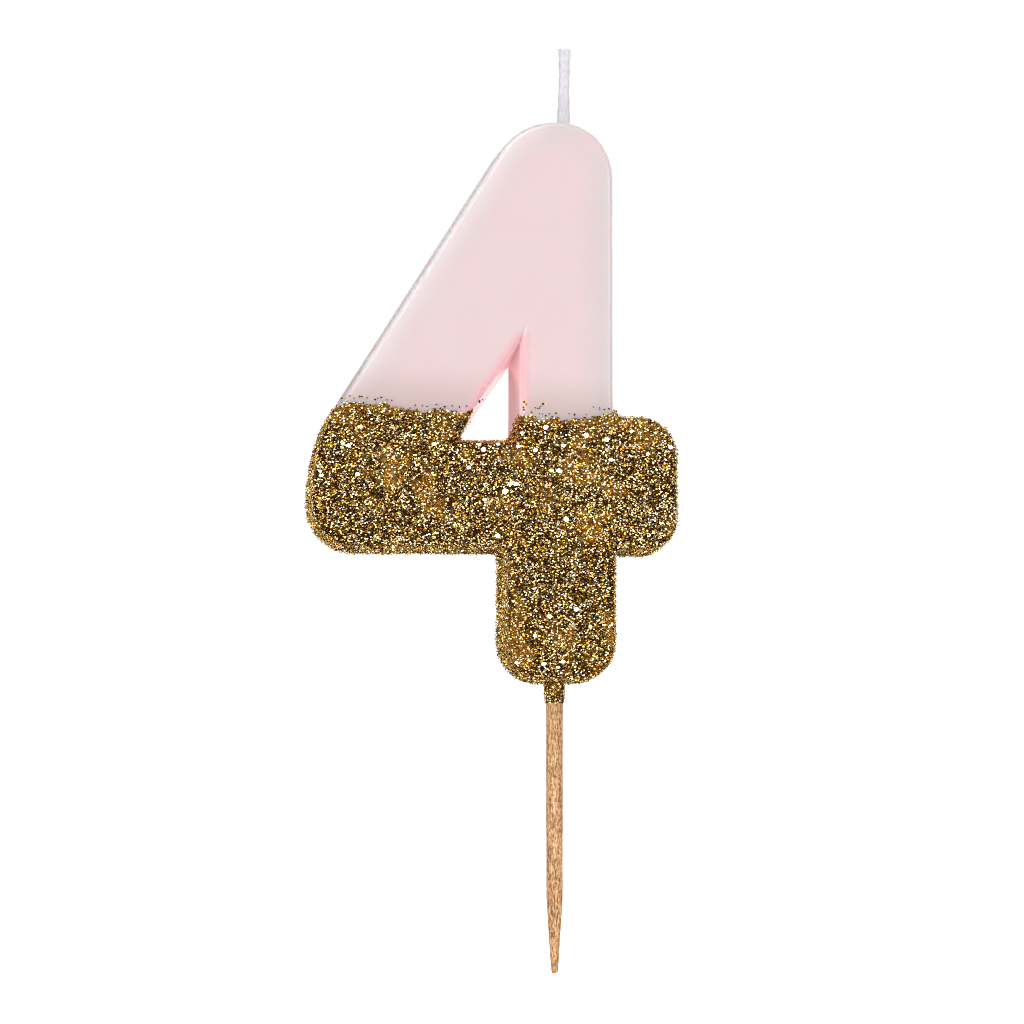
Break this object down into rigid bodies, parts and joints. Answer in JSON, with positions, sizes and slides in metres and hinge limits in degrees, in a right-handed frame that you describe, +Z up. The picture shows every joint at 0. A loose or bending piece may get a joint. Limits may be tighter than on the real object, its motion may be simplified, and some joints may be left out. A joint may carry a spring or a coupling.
{
  "type": "number birthday candle",
  "caption": "Cast wax figure 4 with a three-cornered window, a glitter-dipped lower part, a plaited wick on top and a round wooden pick below to push into a cake.",
  "frame": {"origin": "on the pick's axis, mid-way through the figure's thickness, level with the lowest edge of the foot's underside, which comes down on the cake", "axes": "+Z up along the pick towards the wick, -Y out of the front of the figure, +X to the reader's right"},
  "size_m": [0.0466, 0.0126, 0.1161],
  "materials": {
    "pink_wax": "satin cast wax, slightly see-through",
    "gold_glitter": "metallic gold flakes in clear glue",
    "waxed_cotton": "white plaited cotton, primed with wax",
    "birch_wood": "bare turned birch"
  },
  "bodies": {
    "root": {"number_body": "pink_wax", "glitter_coat": "gold_glitter", "glitter_collar": "gold_glitter", "stray_flakes": "gold_glitter", "wick_strand_a": "waxed_cotton", "wick_strand_b": "waxed_cotton", "wick_strand_c": "waxed_cotton", "pick": "birch_wood"}
  },
  "joints": []
}
